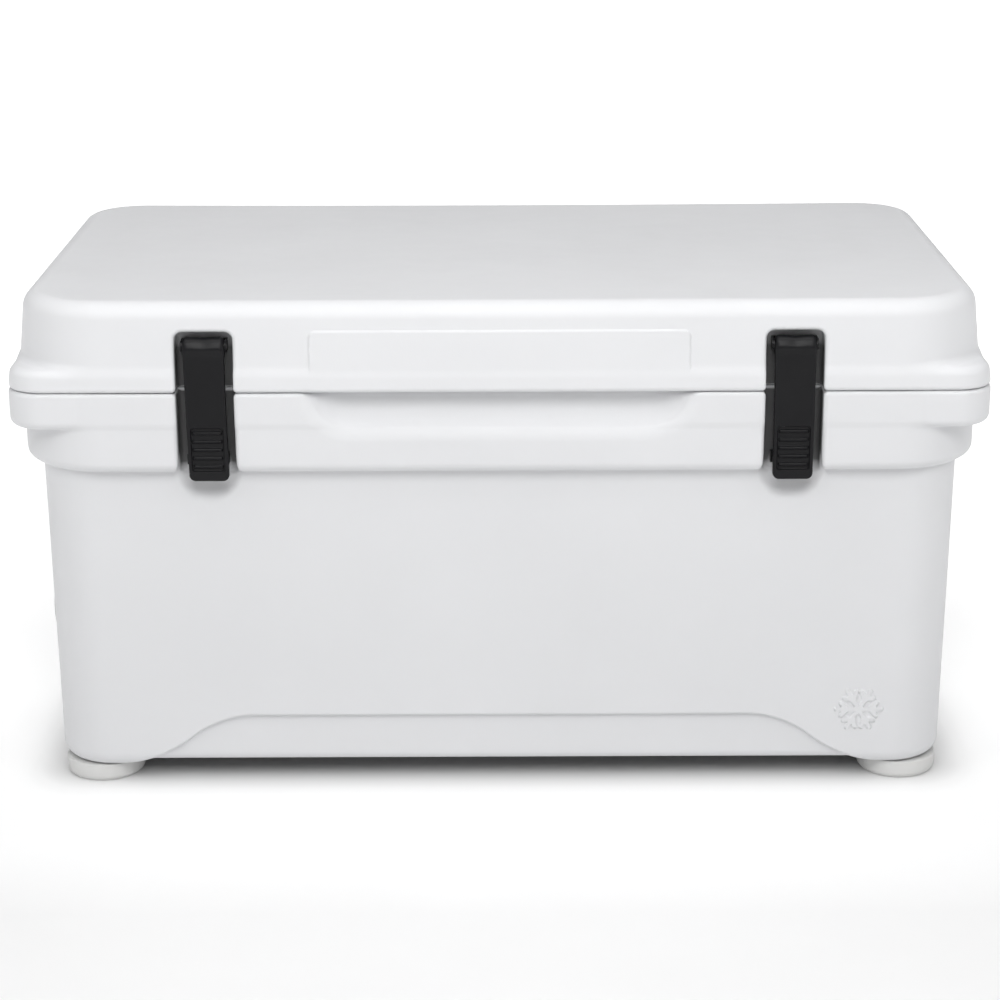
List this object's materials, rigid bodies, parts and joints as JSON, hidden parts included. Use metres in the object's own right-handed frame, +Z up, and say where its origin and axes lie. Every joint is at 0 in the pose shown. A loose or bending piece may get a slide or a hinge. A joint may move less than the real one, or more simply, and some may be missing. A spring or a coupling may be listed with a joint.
{
  "type": "cooler chest",
  "caption": "Insulated rotomoulded cooler chest with a hinged lid, snap latches, moulded side grips, round feet and a threaded drain cap.",
  "frame": {"origin": "on the ground under the middle of the chest", "axes": "+Z up; +X to the right seen from the front; +Y to the back, where the hinge is; the latches are on the -Y side"},
  "size_m": [0.717, 0.412, 0.3735],
  "materials": {
    "shell_white": "satin",
    "foot_white": "matte",
    "drain_white": "satin",
    "foam": "matte",
    "latch_black": "satin",
    "bush_black": "matte",
    "gasket_grey": "matte",
    "steel": "satin",
    "brass": "satin"
  },
  "bodies": {
    "chest": {"body_shell": "shell_white", "body_foam": "foam", "base_fill_plugs": "shell_white", "foot_front_left": "foot_white", "foot_front_right": "foot_white", "foot_rear_left": "foot_white", "foot_rear_right": "foot_white", "foot_screws": "steel", "foot_inserts": "brass", "catch_left": "latch_black", "catch_right": "latch_black", "catch_screws": "steel", "catch_inserts": "brass", "hinge_rod": "steel", "hinge_end_caps": "shell_white", "drain_fitting": "drain_white", "drain_gasket": "gasket_grey"},
    "lid": {"lid_shell": "shell_white", "lid_foam": "foam", "lid_gasket": "gasket_grey", "lid_fill_plugs": "shell_white", "hinge_bushes": "bush_black", "latch_mount_left": "latch_black", "latch_mount_right": "latch_black", "latch_pin_left": "steel", "latch_pin_right": "steel", "latch_mount_screws": "steel", "latch_mount_inserts": "brass"},
    "latch_left": {"lever_left": "latch_black", "claw_left": "latch_black"},
    "latch_right": {"lever_right": "latch_black", "claw_right": "latch_black"},
    "drain_seal": {"drain_cap_seal": "gasket_grey"},
    "drain_cap": {"drain_cap": "drain_white"}
  },
  "joints": [
    {"name": "lid_hinge", "type": "hinge", "parent": "chest", "child": "lid", "pos_m": [0, 0.2, 0.309], "axis": [-1, 0, 0], "range_deg": [0, 95]},
    {"name": "latch_left_pivot", "type": "hinge", "parent": "lid", "child": "latch_left", "pos_m": [-0.211, -0.192, 0.342], "axis": [-1, 0, 0], "range_deg": [0, 120], "deforming": ["claw_left"]},
    {"name": "latch_right_pivot", "type": "hinge", "parent": "lid", "child": "latch_right", "pos_m": [0.211, -0.192, 0.342], "axis": [-1, 0, 0], "range_deg": [0, 120], "deforming": ["claw_right"]},
    {"name": "drain_travel", "type": "slide", "parent": "chest", "child": "drain_seal", "axis": [-1, 0, 0], "range_m": [0, 0.0121]},
    {"name": "drain_turn", "type": "hinge", "parent": "drain_seal", "child": "drain_cap", "pos_m": [-0.35, 0, 0.082], "axis": [-1, 0, 0], "range_deg": [0, 1440]}
  ],
  "couplings": [
    {"joint": "drain_travel", "follows": "drain_turn", "m_per_rad": 0.00047746}
  ]
}
